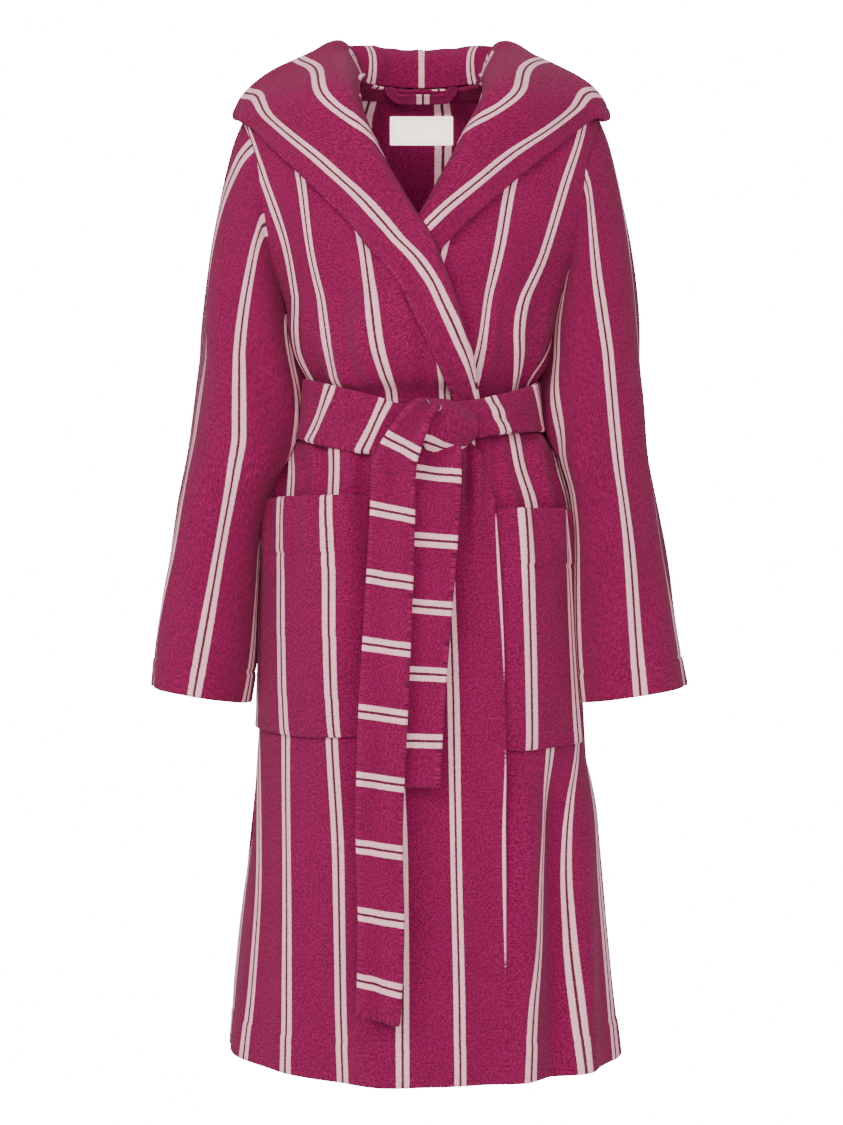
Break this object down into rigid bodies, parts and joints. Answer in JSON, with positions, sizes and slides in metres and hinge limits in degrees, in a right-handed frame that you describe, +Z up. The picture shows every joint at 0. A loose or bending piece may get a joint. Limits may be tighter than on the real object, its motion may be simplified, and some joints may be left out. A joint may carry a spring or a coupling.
{
  "type": "bathrobe",
  "caption": "Hooded, long-sleeved terry bathrobe with a shawl collar, a knotted tie belt, patch pockets and paired vertical stripes.",
  "frame": {"origin": "the middle of the neck seam at the back, where the hanger loop is sewn and the robe bears on the wearer's nape", "axes": "+Z up, +Y towards the wearer's back, +X towards the wearer's left"},
  "size_m": [0.6074, 0.3759, 1.1716],
  "materials": {
    "terry": "berry cotton terry with paired pale pink stripes 72 mm apart",
    "belt_terry": "berry cotton terry with paired pale pink stripes across the belt",
    "label_satin": "plain woven cream satin",
    "tape": "plain woven tape"
  },
  "bodies": {
    "robe": {"back_panel": "terry", "right_front": "terry", "left_front": "terry", "right_collar": "terry", "left_collar": "terry", "right_pocket": "terry", "left_pocket": "terry", "belt_waist": "belt_terry", "belt_knot": "belt_terry", "right_belt_loop": "terry", "left_belt_loop": "terry", "label": "label_satin", "neck_tape": "tape"},
    "right_sleeve": {"right_sleeve": "terry"},
    "left_sleeve": {"left_sleeve": "terry"},
    "hood": {"hood_right_half": "terry", "hood_left_half": "terry"},
    "hanger_loop": {"hanger_loop": "terry"},
    "belt_long_tail": {"belt_long_tail": "belt_terry"},
    "belt_short_tail": {"belt_short_tail": "belt_terry"}
  },
  "joints": [
    {"name": "right_shoulder", "type": "hinge", "parent": "robe", "child": "right_sleeve", "pos_m": [-0.205, -0.07, -0.046], "axis": [0, 1, 0], "range_deg": [0, 45]},
    {"name": "left_shoulder", "type": "hinge", "parent": "robe", "child": "left_sleeve", "pos_m": [0.205, -0.07, -0.046], "axis": [0, -1, 0], "range_deg": [0, 45]},
    {"name": "hood_lift", "type": "hinge", "parent": "robe", "child": "hood", "pos_m": [0, -0.032, 0.046], "axis": [1, 0, 0], "range_deg": [0, 35]},
    {"name": "loop_flip", "type": "hinge", "parent": "robe", "child": "hanger_loop", "pos_m": [0, -0.0177, -0.0025], "axis": [-1, 0, 0], "range_deg": [0, 150]},
    {"name": "long_tail_swing", "type": "hinge", "parent": "robe", "child": "belt_long_tail", "pos_m": [-0.03, -0.222, -0.42], "axis": [0, 1, 0], "range_deg": [-12, 12]},
    {"name": "short_tail_swing", "type": "hinge", "parent": "robe", "child": "belt_short_tail", "pos_m": [0.019, -0.217, -0.42], "axis": [0, 1, 0], "range_deg": [-10, 10]}
  ]
}
